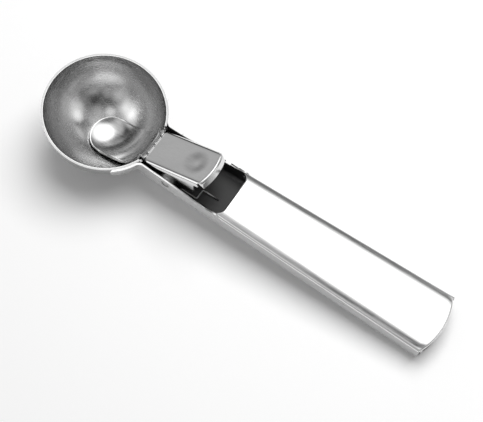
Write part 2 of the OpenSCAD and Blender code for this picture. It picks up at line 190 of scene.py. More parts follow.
def own_place(tree):
    """Where a point is on its piece, in metres, which moves along when the piece does."""
    return add(tree, "ShaderNodeTexCoord").outputs["Object"]


def effect(name, inputs, outputs):
    """An empty node group with named inputs and outputs."""
    tree = bpy.data.node_groups.new(name, "ShaderNodeTree")
    for label, kind, value in inputs:
        socket = tree.interface.new_socket(label, in_out="INPUT", socket_type=kind)
        socket.default_value = value
    for label in outputs:
        tree.interface.new_socket(label, in_out="OUTPUT", socket_type="NodeSocketFloat")
    return tree, tree.nodes.new("NodeGroupInput").outputs, tree.nodes.new("NodeGroupOutput").inputs


FLOAT, VECTOR = "NodeSocketFloat", "NodeSocketVector"
print("texture helpers ready")

# %% [markdown]
# ## Brushed grain
# A belt of abrasive leaves fine lines that all run one way. They could be painted on a picture,
# but a piece would need a flat layout for that. Noise that is stretched along the brushing does
# the same from the piece's own coordinates. A fine and a broad noise together keep the lines from
# looking even.

# %% Straight brushed grain
grain, given, out = effect(
    "brushed grain", [("Stretch", VECTOR, (1, 1, 1)), ("Fineness", FLOAT, 900.0)], ["Lines"])
drawn = vector_node(grain, "MULTIPLY", own_place(grain), given["Stretch"])
fine = noise(grain, drawn, given["Fineness"], 3.0, 0.6)
broad = noise(grain, drawn, math_node(grain, "MULTIPLY", given["Fineness"], 0.22))
grain.links.new(math_node(grain, "ADD", math_node(grain, "MULTIPLY", fine, 0.7),
                          math_node(grain, "MULTIPLY", broad, 0.3)), out["Lines"])
print("group:", grain.name)

# %% [markdown]
# ## Spun grain
# The bowl is finished while it turns, so its lines are rings round its axis. A wave texture would
# make them as regular as a record's groove. Here noise is read at a place that changes a lot with
# the angle from the axis and only a little round it, so each ring fades in and out. A second
# noise, which changes only round the axis, gives the faint rays across the rings.

# %% Grain of a spun bowl
spun, given, out = effect(
    "spun grain", [("Centre", VECTOR, (0, 0, 0)), ("Axis", VECTOR, (0, 0, 1)),
                   ("Fineness", FLOAT, 2500.0)], ["Rings", "Rays"])
ring_run, ring_depth, ray_count = 0.004, 0.03, 9.0
arm = vector_node(spun, "SUBTRACT", own_place(spun), given["Centre"])
rise = vector_value(spun, "DOT_PRODUCT", arm, given["Axis"])
polar = math_node(spun, "ARCCOSINE", math_node(
    spun, "DIVIDE", rise, vector_value(spun, "LENGTH", arm)))
sideways = vector_node(spun, "SUBTRACT", arm, scaled(spun, given["Axis"], rise))
direction = vector_node(spun, "NORMALIZE", sideways)
ring_level = add(spun, "ShaderNodeCombineXYZ", {
    "Z": math_node(spun, "MULTIPLY", polar, ring_depth)}).outputs[0]
ring_place = vector_node(spun, "ADD", scaled(spun, direction, ring_run), ring_level)
spun.links.new(noise(spun, ring_place, given["Fineness"], 3.0, 0.6), out["Rings"])
spun.links.new(noise(spun, direction, ray_count, 3.0, 0.6), out["Rays"])
print("group:", spun.name)

# %% [markdown]
# ## Wear and handling
# Edges rub against drawers and other tools and shine a little brighter than the faces. The Bevel
# node finds them: where its rounded normal turns away from the true one, there is an edge. Faces
# carry faint smudges and a few long scratches, which are wide noise and stretched noise of which
# only the peaks are used.

# %% Worn edges
wear, given, out = effect(
    "edge wear", [("Width", FLOAT, 0.0004), ("Fineness", FLOAT, 900.0)], ["Wear"])
on_face, on_edge = 0.995, 0.86
rounded = add(wear, "ShaderNodeBevel", {"Radius": given["Width"]}, samples=6).outputs[0]
sharp = add(wear, "ShaderNodeNewGeometry").outputs["Normal"]
edge = remap(wear, vector_value(wear, "DOT_PRODUCT", rounded, sharp), on_face, on_edge)
broken = remap(wear, noise(wear, own_place(wear), given["Fineness"]), 0.3, 0.6, 0.45, 1.0)
wear.links.new(math_node(wear, "MULTIPLY", edge, broken), out["Wear"])
print("group:", wear.name)

# %% Smudges and scratches
marks, given, out = effect("handling marks", [("Size", FLOAT, 60.0)], ["Smudge", "Scratches"])
scratch_stretch, scratch_fineness = (1.0, 14.0, 6.0), 6.0
place = own_place(marks)
clouds = noise(marks, place, given["Size"], 4.0, 0.55)
marks.links.new(remap(marks, clouds, 0.42, 0.7), out["Smudge"])
streaks = noise(marks, vector_node(marks, "MULTIPLY", place, scratch_stretch),
                math_node(marks, "MULTIPLY", given["Size"], scratch_fineness))
marks.links.new(remap(marks, streaks, 0.7, 0.78), out["Scratches"])
print("group:", marks.name)

# %% [markdown]
# ## Steels
# Every piece is stainless steel, but no two are finished alike: the bowl is spun and satin, the
# sheet of the handle is brushed along its length, cover and lever are polished nearly to a mirror,
# pin and spring are drawn. One function turns lines into a steel: they swing the tone and the
# roughness a little and raise the surface by thousandths of a millimetre. A constant that is the
# same all over, such as the anisotropy, is set on the shader itself.

# %% Mix a steel from the shared finishes
low_line, high_line = 0.3, 0.7
tone_swing, rough_swing = 0.06, 0.08
worn_width, worn_gain = 0.0004, 0.08
smudge_gain, scratch_gain = 0.06, 0.05
line_height = 0.00002


def new_metal(name, anisotropy=0.0):
    """A bare metal, with its graph and its shader."""
    material = bpy.data.materials.new(name)
    material.use_nodes = True
    shader = material.node_tree.nodes["Principled BSDF"]
    shader.inputs["Metallic"].default_value = 1.0
    shader.inputs["Anisotropic"].default_value = anisotropy
    return material, material.node_tree, shader


def finish_steel(tree, shader, lines, tone, roughness, bump, painted_shade=1.0):
    """Links grain, wear and marks to the colour, the roughness and the bump of a steel, and
    multiplies the colour by a factor of painted shade, which is 1 where none is painted.
    """
    worn = add(tree, "ShaderNodeGroup", {"Width": worn_width}, node_tree=wear).outputs["Wear"]
    handled = add(tree, "ShaderNodeGroup", node_tree=marks).outputs
    shade = remap(tree, lines, low_line, high_line, tone - tone_swing, tone + tone_swing)
    shade = math_node(tree, "ADD", shade, math_node(tree, "MULTIPLY", worn, worn_gain))
    # Painted shade: the tone is scaled down where shade is painted, and stays as it is at 1
    shade = math_node(tree, "MULTIPLY", shade, painted_shade)
    grey = add(tree, "ShaderNodeCombineColor", {"Red": shade, "Green": shade, "Blue": shade})
    rough = remap(tree, lines, low_line, high_line, roughness - rough_swing,
                  roughness + rough_swing)
    rough = math_node(tree, "ADD", rough,
                      math_node(tree, "MULTIPLY", handled["Smudge"], smudge_gain))
    rough = math_node(tree, "ADD", rough,
                      math_node(tree, "MULTIPLY", handled["Scratches"], scratch_gain), clamp=True)
    raised = add(tree, "ShaderNodeBump", {"Height": lines, "Strength": bump,
                                          "Distance": line_height})
    tree.links.new(grey.outputs[0], shader.inputs["Base Color"])
    tree.links.new(rough, shader.inputs["Roughness"])
    tree.links.new(raised.outputs[0], shader.inputs["Normal"])


def brushed_steel(name, tone, roughness, bump, stretch, fineness=900.0):
    """A steel with straight grain: stretch is small along the brushing."""
    material, tree, shader = new_metal(name)
    lines = add(tree, "ShaderNodeGroup", {"Stretch": stretch, "Fineness": fineness},
                node_tree=grain).outputs["Lines"]
    finish_steel(tree, shader, lines, tone, roughness, bump)
    print("brushed:", name)
    return material


# %% [markdown]
# ## The bowl's steel
# The spun bowl mirrors light in a fan, because its rings spread it one way more than the other.
# That is anisotropy, and the shader needs the direction of the axis for it. Close behind the
# inner face the tone falls to half, for the cut rim and the outside: painted shade, because that
# side of the bowl lies in shadow. It could also be a second material on a second set of faces.

# %% Spin the bowl's finish
ring_part, ray_part = 0.85, 0.15
polished_r, outside_shade_r, outside_shade_share = bowl_r - 1.0, bowl_r - 0.75, 0.5


def spun_steel(name, tone, roughness, bump, anisotropy):
    """A steel with rings round the bowl's axis and faint rays across them."""
    material, tree, shader = new_metal(name, anisotropy)
    turned = add(tree, "ShaderNodeGroup", {"Centre": bowl_centre, "Axis": bowl_axis},
                 node_tree=spun).outputs
    lines = math_node(tree, "ADD", math_node(tree, "MULTIPLY", turned["Rings"], ring_part),
                      math_node(tree, "MULTIPLY", turned["Rays"], ray_part))
    axis = add(tree, "ShaderNodeCombineXYZ", dict(zip("XYZ", bowl_axis)))
    tree.links.new(axis.outputs[0], shader.inputs["Tangent"])
    away = vector_value(tree, "LENGTH", vector_node(tree, "SUBTRACT", own_place(tree),
                                                    bowl_centre))
    # Painted shade: behind the inner face the tone falls to half, on the cut rim and the outside
    outside = remap(tree, away, polished_r * MM, outside_shade_r * MM, 1.0, outside_shade_share)
    finish_steel(tree, shader, lines, tone, roughness, bump, painted_shade=outside)
    print("spun:", name)
    return material


# %% [markdown]
# ## Inside the channel
# The handle is polished after it is pressed, and the wheel doesn't reach the inside of the
# channel: there the sheet stays rough, as it came from the mill. Its colour there is painted
# nearly black, as painted shade for the deep channel. It could be a second material on the
# inner faces. A mask is simpler here: it measures how deep a point lies inside the walls and
# over the bottom, and works on any mesh of the base.

# %% Paint shade into the inside of the channel and roughen it
def inside_mask(tree):
    """1 on the faces that look into the pressed channel, 0 on those that look out."""
    bench = add(tree, "ShaderNodeMapping", {"Vector": vector_node(
        tree, "SUBTRACT", own_place(tree), bowl_centre), "Rotation": (0, -lie, 0)})
    spot = add(tree, "ShaderNodeSeparateXYZ", {0: bench.outputs[0]}).outputs
    widening = (end_half - neck_half) / (handle_reach - neck_start)
    wall = math_node(tree, "MULTIPLY_ADD", spot["X"], widening, (wall_half(0) - 0.5 * sheet) * MM)
    aside = math_node(tree, "SUBTRACT", wall, math_node(tree, "ABSOLUTE", spot["Y"]))
    lifted = math_node(tree, "SUBTRACT", spot["Z"], (under_z + 0.5 * sheet) * MM)
    return remap(tree, math_node(tree, "MINIMUM", aside, lifted), 0.1 * sheet * MM,
                 0.45 * sheet * MM)


def in_use(sockets):
    """The sockets of a Mix node that belong to its kind of data."""
    return [socket for socket in sockets if socket.enabled]


def paint_shade_and_roughen_inside(material, tone, roughness):
    """Paints shade into the inside of the channel as a far darker colour, and leaves it rough as
    the sheet came from the mill.
    """
    tree = material.node_tree
    shader = tree.nodes["Principled BSDF"]
    mask = inside_mask(tree)
    # The darker colour is painted shade; the higher roughness is the mill finish
    for label, kind, inside_value in (("Base Color", "RGBA", (tone, tone, tone, 1)),
                              ("Roughness", "FLOAT", roughness)):
        mixed = add(tree, "ShaderNodeMix", data_type=kind)
        factor, first, second = in_use(mixed.inputs)[:3]
        second.default_value = inside_value
        tree.links.new(mask, factor)
        tree.links.new(shader.inputs[label].links[0].from_socket, first)
        tree.links.new(in_use(mixed.outputs)[0], shader.inputs[label])
    print("dulled:", material.name)
    return material


# %% [markdown]
# ## The seven finishes
# Tone, roughness and bump differ from piece to piece, in this order below, and so does the way
# the lines run: along the handle, along the pin, or nowhere in particular on the wire. The sleeve
# and the washers keep their plain solids, which are simple turned and blanked shapes, and only
# get their steel, whose dark tone is painted shade for the gap between lever and channel.

# %% Mix them and dress the plain solids
along_handle, along_lever = (0.03, 1, 1), (0.05, 1, 1)
along_pin, across_washer, any_way = (1, 0.1, 1), (1, 0.2, 1), (1, 1, 1)
small_parts = 1600.0
steels = {
    "bowl": spun_steel("spun bowl steel", 0.64, 0.19, 0.2, anisotropy=0.5),
    # Tone 0.09 inside the channel is painted shade; roughness 0.55 is the mill finish
    "handle_base": paint_shade_and_roughen_inside(brushed_steel("brushed sheet steel", 0.52, 0.28, 0.25,
                                             along_handle), 0.09, 0.55),
    "handle_cover": brushed_steel("polished cover steel", 0.70, 0.16, 0.12, along_handle),
    "thumb_lever": brushed_steel("polished lever steel", 0.66, 0.13, 0.1, along_lever),
    "pivot_pin": brushed_steel("drawn pin steel", 0.36, 0.25, 0.25, along_pin, small_parts),
    # The washers' dark tone of 0.34 is painted shade for the gap between lever and channel
    "washer": brushed_steel("blanked washer steel", 0.34, 0.4, 0.25, across_washer, small_parts),
    "return_spring": brushed_steel("drawn spring wire", 0.66, 0.42, 0.2, any_way, small_parts),
}
# The sleeve and the washers take that darker steel, as painted shade in the gap
for name in ("pivot_sleeve", "left_washer", "right_washer"):
    for material_slot in nodes[name].material_slots:
        material_slot.material = steels["washer"]
    print("dressed:", name)

# %% [markdown]
# ## Pieces
# The plain solids have sharp sheet edges and evenly bent corners. The pieces below stand for them
# with the softer forms of pressed and polished sheet. Each starts from an operator or from a
# merged copy of its solid, and rides on the body of that solid, except the spring wire, which
# stays where it lies. Modifiers finish most of them, because a thickness or a rounding can then
# be changed by one number. Normals are recalculated on the bare skin, before a modifier gives it
# the thickness of the sheet.

# %% Make pieces
body_of = {node: body for body, names in frame["record"]["behaviour"]["bodies"].items()
           for node in names}


def piece(name, mesh, node, modifiers=(), soft_shading=True, bends=None):
    """Turns a mesh into a finished piece that stands for a node."""
    made = bpy.data.objects.new(name, mesh)
    scene.collection.objects.link(made)
    mesh.materials.append(steels[node])
    for polygon in mesh.polygons:
        polygon.use_smooth = soft_shading
    for kind, settings in modifiers:
        modifier = made.modifiers.new(kind.title(), kind)
        for key, value in settings.items():
            setattr(modifier, key, value)
    if bends:
        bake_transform(made)
    else:
        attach(made, body_of[node])
    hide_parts(node)
    print("piece:", name, len(mesh.polygons), "faces")


def to_mesh(shape, name):
    """Writes a bmesh that is in bench millimetres to a mesh that lies on the table."""
    bmesh.ops.transform(shape, matrix=on_table, verts=shape.verts)
    bmesh.ops.recalc_face_normals(shape, faces=shape.faces)
    mesh = bpy.data.meshes.new(name)
    shape.to_mesh(mesh)
    shape.free()
    return mesh


# %% Start, cut and join shapes
def merged_copy(node):
    """A copy of a node's loose triangles as one skin, in bench millimetres."""
    shape = bmesh.new()
    shape.from_mesh(nodes[node].data)
    bmesh.ops.transform(shape, matrix=on_table.inverted(), verts=shape.verts)
    bmesh.ops.remove_doubles(shape, verts=shape.verts, dist=0.002)
    return shape


def new_grid(rows, columns):
    """A flat grid of faces, two units wide each way, to be carried to its place."""
    shape = bmesh.new()
    bmesh.ops.create_grid(shape, x_segments=rows, y_segments=columns, size=1)
    return shape


def grid_spots(shape, rows, columns):
    """Each vertex of such a grid, with its row and with its column counted from the middle."""
    for vertex in shape.verts:
        row = round((vertex.co.x + 1) / 2 * rows)
        yield vertex, row, round((vertex.co.y + 1) / 2 * columns) - columns // 2


def whole(shape):
    """All of a bmesh, as the cutting operators want it."""
    return shape.verts[:] + shape.edges[:] + shape.faces[:]


def cut_across(shape, places, axis):
    """Cuts a shape by planes at right angles to an axis."""
    for place in places:
        middle, normal = [0, 0, 0], [0, 0, 0]
        middle[axis], normal[axis] = place, 1
        bmesh.ops.bisect_plane(shape, geom=whole(shape), plane_co=middle, plane_no=normal,
                               dist=0.001)


def join(shape, part):
    """Adds a second bmesh to the first and clears it away."""
    carrier = bpy.data.meshes.new("carrier")
    part.to_mesh(carrier)
    part.free()
    shape.from_mesh(carrier)
    bpy.data.meshes.remove(carrier)


print("shape helpers ready")

# %% Finish the edges of the sheet
def rounding(width, segments=2, angle=35):
    """A bevel for the edges of the sheet, in millimetres."""
    return ("BEVEL", {"width": width * MM, "segments": segments, "limit_method": "ANGLE",
                      "angle_limit": math.radians(angle), "harden_normals": False})


def thickness(millimetres, even):
    """The wall of a pressed sheet, which grows inwards from its skin."""
    return ("SOLIDIFY", {"thickness": millimetres * MM, "offset": -1, "use_even_offset": even})


EVEN = ("WEIGHTED_NORMAL", {"weight": 80, "keep_sharp": True})
print("finishing steps:", rounding(0)[0], thickness(0, True)[0], EVEN[0])

# %% [markdown]
# ## Bowl
# The bowl is pressed and spun from a disc: half a ball, with a notch in its rim that lets the
# lever through. It could be a profile turned round an axis. A whole ball that is cut off at the
# mouth is shorter, and planes across it draw the straight sides of the notch. The sheet gets its
# thickness last, so that the inside stays a true ball too.

# %% Spin the bowl
shape = bmesh.new()
bmesh.ops.create_uvsphere(shape, u_segments=160, v_segments=96, radius=bowl_r)
bmesh.ops.rotate(shape, cent=(0, 0, 0), matrix=Matrix.Rotation(mouth_lean, 3, "Y"),
                 verts=shape.verts)
mouth_up = Vector((math.sin(mouth_lean), 0, math.cos(mouth_lean)))
bmesh.ops.bisect_plane(shape, geom=whole(shape), plane_co=(0, 0, 0), plane_no=mouth_up,
                       clear_outer=True, dist=0.001)
print("half a ball:", len(shape.faces), "faces")

# %% Cut the lever's notch
notch_gap, notch_drop, notch_corner = 0.7, 1.9, 1.5
notch_half, notch_z = lever_half + notch_gap, fold_z - notch_drop
cut_across(shape, [notch_half - notch_corner, notch_half, notch_corner - notch_half,
                   -notch_half], 1)
cut_across(shape, [notch_z, notch_z + notch_corner], 2)


def in_notch(centre):
    """Whether a face lies in the lever's notch, whose lower corners are cut off."""
    aside = notch_half - abs(centre.y)
    above = centre.z - notch_z
    return centre.x > bowl_r / 2 and aside > 0 and above > 0 and aside + above > notch_corner


gone = [face for face in shape.faces if in_notch(face.calc_center_median())]
bmesh.ops.delete(shape, geom=gone, context="FACES")
piece("bowl_shell", to_mesh(shape, "bowl_shell"), "bowl", [
    thickness(sheet, True), rounding(0.3, 3), EVEN])

# %% [markdown]
# ## Cover
# The polished upper half of the handle has a flat top, a wide soft shoulder, and a tight bend
# down to the seam. Bevels on a plain box would give only the tight bend, and they fight with the
# bowed end. So a grid is laid over the plan instead. Across, each column has its distance from
# the side and its height. Along, it runs from the edge of the open channel to the bowed end.

# %% Section of the cover
crown_w, side_r, end_r, groove, cover_sheet = 6.0, 1.6, 0.8, 0.3, 0.9
# Points of the shoulder closer to the groove than this would make faces with no width
closest = 0.08
crown_run, drop = crown_w - side_r, top_z - seam_z
crown_r = (crown_run ** 2 + drop ** 2 - side_r ** 2) / (2 * (drop - side_r))
join_turn = math.atan2(crown_run, crown_r - drop)
arcs = 10
shoulder = [(crown_w - crown_r * math.sin(join_turn * step / arcs),
             top_z - crown_r * (1 - math.cos(join_turn * step / arcs))) for step in range(arcs)]
shoulder += [(side_r * (1 - math.sin(join_turn + (math.pi / 2 - join_turn) * step / arcs)),
              seam_z + side_r * math.cos(join_turn + (math.pi / 2 - join_turn) * step / arcs))
             for step in range(arcs)]
# Then the groove of the seam, and the lap that reaches down inside the base
lap = [(0, seam_z + groove), (0.55 * sheet, seam_z + groove), (1.15 * sheet, seam_z + groove),
       (1.15 * sheet, seam_z - 2)]
shoulder = [spot for spot in shoulder if spot[1] > seam_z + groove + closest] + lap
print("columns of the shoulder:", len(shoulder), "crown radius", round(crown_r, 2))

# %% Ends of the cover
channel_half = wall_half(cover_front) - sheet
corner_from = cover_front - corner_r
lip_x, lip_run, lip_rise = 71.3, 2.2, 1.6


def front_edge(aside, height):
    """Where a column starts: at the open channel, round its corner or on top of the wall."""
    if aside > channel_half:
        level = min(max((height - seam_z) / lip_rise, 0), 0.999)
        return lip_x + lip_run * math.sqrt(1 - level ** 2)
    turn = max(aside - channel_half + corner_r, 0)
    return corner_from + math.sqrt(corner_r ** 2 - turn ** 2)


def end_edge(aside):
    """Where the bowed end of the handle stands."""
    return handle_reach - end_bow_r + math.sqrt(end_bow_r ** 2 - aside ** 2)


print("the cover runs from", cover_front, "to", end_edge(0))

# %% Lay the cover's grid
flat_columns, rows, end_rows, end_depth = 24, 60, 6, 4
columns, all_rows = flat_columns + 2 * len(shoulder), rows + end_rows + 1
shape = new_grid(all_rows, columns)


def cover_aside(column, x):
    """A column's distance from the middle, at a distance from the bowl."""
    beyond = abs(column) - flat_columns // 2
    if beyond > 0:
        return wall_half(x) - shoulder[beyond - 1][0]
    return min(abs(column) / (flat_columns / 2), 1) * (wall_half(x) - crown_w)


def cover_height(column):
    """A column's height, flat in the middle and falling over the shoulder."""
    beyond = abs(column) - flat_columns // 2
    return shoulder[beyond - 1][1] if beyond > 0 else top_z


for vertex, row, column in grid_spots(shape, all_rows, columns):
    height = cover_height(column)
    start = front_edge(cover_aside(column, cover_front), height)
    reach = end_edge(cover_aside(column, handle_reach - end_depth))
    bend = min(end_r, max(height - seam_z - groove, 0.05))
    x, z = start + (reach - bend - start) * min(row / rows, 1) ** 1.3, height
    if row > rows:
        turn = math.pi / 2 * min((row - rows) / end_rows, 1)
        x, z = reach - bend * (1 - math.sin(turn)), height - bend * (1 - math.cos(turn))
    if row == all_rows:
        z = min(seam_z + groove, height)
    vertex.co = (x, (-1 if column < 0 else 1) * cover_aside(column, x), z)
bmesh.ops.remove_doubles(shape, verts=shape.verts, dist=0.02)
piece("cover_shell", to_mesh(shape, "cover_shell"), "handle_cover", [
    thickness(cover_sheet, False)])

# %% [markdown]
# ## Base
# The lower half of the handle, the neck and the wings round the bowl are one sheet. Its solid
# already has all of these, so the piece is a merged copy of it. Only the upper edge of the neck
# is too straight there: on the real tool it is drawn down in a long soft dip and rises again to
# the cover's shoulder. Planes cut the walls into slices, and their upper vertices are moved.

# %% Height of the neck's upper edge
dip_from, dip_low, dip_rise, dip_end, dip = 42.0, 62.0, 65.0, 71.5, 1.7
neck_z, shoulder_fall = -2.9, 0.3
step_x, plain_sag = 72.4, 0.75


def soft_step(value):
    """Soft step from 0 to 1."""
    value = min(max(value, 0), 1)
    return value * value * (3 - 2 * value)


def plain_edge(x):
    """Height of the neck's upper edge in the plain solid."""
    chord_from = Vector((neck_start, -neck_start * math.tan(mouth_lean)))
    if x > step_x:
        return seam_z + math.sqrt(max((top_z - seam_z) ** 2 - (x - step_x) ** 2, 0))
    chord = Vector((step_x, top_z)) - chord_from
    share = (x - neck_start) / chord.x
    return chord_from.y + chord.y * share - 4 * plain_sag * share * (1 - share)


def soft_edge(x):
    """Height of the same edge with its soft dip, up to the cover's shoulder and the seam."""
    if x > lip_x:
        level = min((x - lip_x) / lip_run, 1)
        return seam_z + lip_rise * math.sqrt(1 - level ** 2)
    dipping = soft_step((x - dip_from) / (dip_low - dip_from))
    rising = soft_step((x - dip_rise) / (dip_end - dip_rise))
    return neck_z - dip * dipping * (1 - rising) - shoulder_fall * rising


print("lowest point of the dip:", round(soft_edge(dip_low), 2))

# %% Shape the neck's upper edge
first_cut, last_x, slices, slice_width = 36, 75.3, 80, 0.5
edge_band, corner_share = 0.3, 0.8
shape = merged_copy("handle_base")
cut_across(shape, [first_cut + slice_width * step for step in range(slices)], 0)
for vertex in shape.verts:
    x, y, z = vertex.co
    aside = wall_half(x) - abs(y)
    lowest = soft_edge(x) if x > dip_end else plain_edge(x) - edge_band
    if not (first_cut < x < last_x and -0.1 < aside < sheet + 0.1 and z > lowest):
        continue
    vertex.co.z = soft_edge(x)
    if aside > sheet / 2 and x > corner_from:
        turn = min(x - corner_from, corner_r * corner_share)
        vertex.co.y -= math.copysign(corner_r - math.sqrt(corner_r ** 2 - turn ** 2), y)
piece("base_shell", to_mesh(shape, "base_shell"), "handle_base", soft_shading=False)

# %% [markdown]
# ## Lever
# The lever is one stamping, so it is one grid: the plate with its rounded sides and skirts, the
# flange behind it, and in front the fold and the tongue. Separate pieces would show joints that
# the real sheet doesn't have. The columns run from the lower edge of one skirt over the plate to
# the other, the rows from the fold to the flange. All is measured on the plate itself: u along
# it from the fold, n out of it.

# %% Forms on the plate
side_arc, rear_bend, flange_h, flange_half, rear_bow = 2.0, 1.4, 4.2, 8.8, 24.0
dimple_back, dimple_r, dimple_depth, ear_r, bore_r = 11.0, 7.4, 0.5, 4.6, 2.85
lever_sheet = 0.95
skirt_line = [(2.1, -2.6), (10.9, -12.2), (13.8, -13.4), (28.3, -9.5), (29.6, -9.0),
              (32.4, -2.4), (40, -2.4)]
on_plate = Matrix.Translation((fold_x, 0, fold_z)) @ Matrix.Rotation(-lever_slope, 4, "Y")
ear = on_plate.inverted() @ Vector((pivot_x, 0, pivot_z))


def dimple(u, y):
    """Depth of the pressed dimple, which leaves the plate without a crease."""
    away = math.hypot(u - (plate_len - dimple_back), y) / dimple_r
    return dimple_depth * (1 + math.cos(math.pi * min(away, 1))) / 2


def rear_edge(y):
    """The bowed rear edge of the plate."""
    return plate_len - rear_bow + math.sqrt(rear_bow ** 2 - y ** 2)


def straight_runs(value, points):
    """Straight runs between points."""
    for (from_u, from_n), (to_u, to_n) in zip(points, points[1:]):
        if value <= to_u:
            share = min(max((value - from_u) / (to_u - from_u), 0), 1)
            return from_n + share * (to_n - from_n)
    return points[-1][1]


def skirt_depth(u):
    """How far the skirts reach below the plate, with the ears round the pivot."""
    straight = straight_runs(u, skirt_line)
    turn = ear_r ** 2 - (u - ear.x) ** 2
    return min(straight, ear.z - math.sqrt(turn)) if turn > 0 else straight


print("the pivot is", round(ear.x, 2), "behind the fold and", round(-ear.z, 2), "below the plate")

# %% Lay the plate's grid
plate_columns, arc_columns, skirt_columns = 20, 6, 9
plate_rows, bend_rows, flange_rows = 56, 6, 2
first_u, corner_u, waist_share = 2.1, 3.3, 0.86
arc_from = plate_columns // 2
skirt_from = arc_from + arc_columns
columns, all_rows = 2 * (skirt_from + skirt_columns), plate_rows + bend_rows + flange_rows
shape = new_grid(all_rows, columns)
for vertex, row, column in grid_spots(shape, all_rows, columns):
    outward = abs(column)
    y, n, lean = (lever_half - side_arc) * min(outward / arc_from, 1), 0.0, 0.0
    if outward > arc_from:
        lean = math.pi / 2 * min((outward - arc_from) / arc_columns, 1)
        y += side_arc * math.sin(lean)
        n -= side_arc * (1 - math.cos(lean))
    reach = rear_edge(min(y, lever_half)) - rear_bend
    u = first_u + (reach - first_u) * min(row / plate_rows, 1)
    if outward > skirt_from:
        n += (min(skirt_depth(u), -side_arc - 0.1) + side_arc) * (
            outward - skirt_from) / skirt_columns
    if row > plate_rows and y <= flange_half:
        angle = math.pi / 2 * min((row - plate_rows) / bend_rows, 1)
        u += rear_bend * math.sin(angle)
        n -= rear_bend * (1 - math.cos(angle))
        n -= (flange_h - rear_bend) * max(row - plate_rows - bend_rows, 0) / flange_rows
    narrow = 1 - (1 - waist_share) * max(1 - (u - first_u) / (corner_u - first_u), 0)
    side = -1 if column < 0 else 1
    vertex.co = (u, side * y * narrow, n - (dimple(u, y) if lean == 0 else 0))
bmesh.ops.remove_doubles(shape, verts=shape.verts, dist=0.001)
print("plate of the lever:", len(shape.faces), "faces")

# %% Bore the ears
def from_ear(place):
    """The arm from the pivot's axis to a place, across that axis."""
    return Vector((place.x - ear.x, 0, place.z - ear.z))


gone = [face for face in shape.faces if abs(face.normal.y) > 0.9
        and from_ear(face.calc_center_median()).length < bore_r]
bmesh.ops.delete(shape, geom=gone, context="FACES")
for vertex in shape.verts:
    arm = from_ear(vertex.co)
    if abs(vertex.co.y) > lever_half - 0.1 and arm.length < bore_r + 0.9 and vertex.is_boundary:
        vertex.co = Vector((ear.x, vertex.co.y, ear.z)) + arm.normalized() * bore_r
bmesh.ops.transform(shape, matrix=on_plate, verts=shape.verts)
print("faces cut out for the bores:", len(gone))

# %% [markdown]
# ## Tongue
# In front of the fold the sheet narrows and is dished to the bowl's own ball, with a running gap,
# so that it scrapes the bowl clean when the thumb pushes. Each vertex of a second grid is dropped
# onto that ball. Between ball and plate the sheet follows a soft bend, from one point over a knee
# to another, and then the two grids are merged into one skin.

# %% Shape the fold and the tongue
tongue_top, tongue_half, waist_half, tip_x, waist_x = 27.7, 10.5, 8.4, 1.425, 19.5
tongue_end, fold_widening, knee_drop = fold_x - 0.4, 0.3, 0.1
tongue_rows, tongue_columns, fold_rows = 60, 28, 12


def tongue_edge(x):
    """Half the tongue's width between its fold and its round end."""
    return tongue_half + (waist_half - tongue_half) * max((x - waist_x) / (fold_x - waist_x), 0)


def on_ball(x, y):
    """The place on the tongue's ball below a point of the plan."""
    return Vector((x, y, -math.sqrt(tongue_top ** 2 - x ** 2 - y ** 2)))


tongue = new_grid(tongue_rows + fold_rows, tongue_columns)
for vertex, row, column in grid_spots(tongue, tongue_rows + fold_rows, tongue_columns):
    across = vertex.co.y
    if row <= tongue_rows:
        tip = tip_x - math.sqrt(max(tongue_half ** 2 - (across * tongue_half) ** 2, 0))
        x = tip + (tongue_end - tip) * row / tongue_rows
        vertex.co = on_ball(x, across * tongue_edge(x))
        continue
    # From the ball the sheet turns up and over the fold, on a soft S, to the plate
    share = (row - tongue_rows) / fold_rows
    y = across * (waist_half + fold_widening * share)
    knee = Vector((fold_x, 0, fold_z - knee_drop))
    end = on_plate @ Vector((first_u, 0, 0))
    bent = on_ball(tongue_end, y).lerp(knee, share).lerp(knee.lerp(end, share), share)
    vertex.co = (bent.x, y, bent.z)
join(shape, tongue)
bmesh.ops.remove_doubles(shape, verts=shape.verts, dist=0.05)
piece("lever_plate", to_mesh(shape, "lever_plate"), "thumb_lever", [
    thickness(lever_sheet, False), rounding(0.08, 2, 50), EVEN])

# %% [markdown]
# ## Pin
# The pin is peened at both ends: the blow spreads it into a low dome that sits in the recess of
# the wall. A cylinder's rim could be rounded by a bevel, but that leaves a flat middle. Slices cut
# off two large balls are domes all over.

# %% Dome the pin
pin_r, head_r, head_rise, recess, overlap = 1.78, 2.12, 0.42, 0.5, 0.1
seat = wall_half(pivot_x) - recess
ball = (head_r ** 2 + head_rise ** 2) / (2 * head_rise)
lying = Matrix.Rotation(math.pi / 2, 4, "X")
shape = bmesh.new()
bmesh.ops.create_cone(shape, cap_ends=True, segments=48, radius1=pin_r, radius2=pin_r,
                      depth=2 * seat + overlap, matrix=lying)
for side in (-1, 1):
    dome = bmesh.new()
    bmesh.ops.create_uvsphere(
        dome, u_segments=64, v_segments=96, radius=ball,
        matrix=Matrix.Translation((0, side * (seat + head_rise - ball), 0)) @ lying)
    bmesh.ops.bisect_plane(dome, geom=whole(dome), plane_co=(0, side * seat, 0),
                           plane_no=(0, side, 0), clear_inner=True)
    bmesh.ops.holes_fill(dome, edges=[edge for edge in dome.edges if edge.is_boundary])
    join(shape, dome)
bmesh.ops.translate(shape, verts=shape.verts, vec=(pivot_x, 0, pivot_z))
piece("domed_pin", to_mesh(shape, "domed_pin"), "pivot_pin", [rounding(0.06, 2, 40)])

# %% [markdown]
# ## Spring
# The spring's coil stays on the sleeve and its lower leg on the floor of the channel, but its
# upper leg lies under the plate and goes down with it. Riding on either body would leave one leg
# behind. The wire is set in its place on the table and rides on neither; the two heights of its
# bend, below which it would follow the handle and above which the lever, are given but not used.

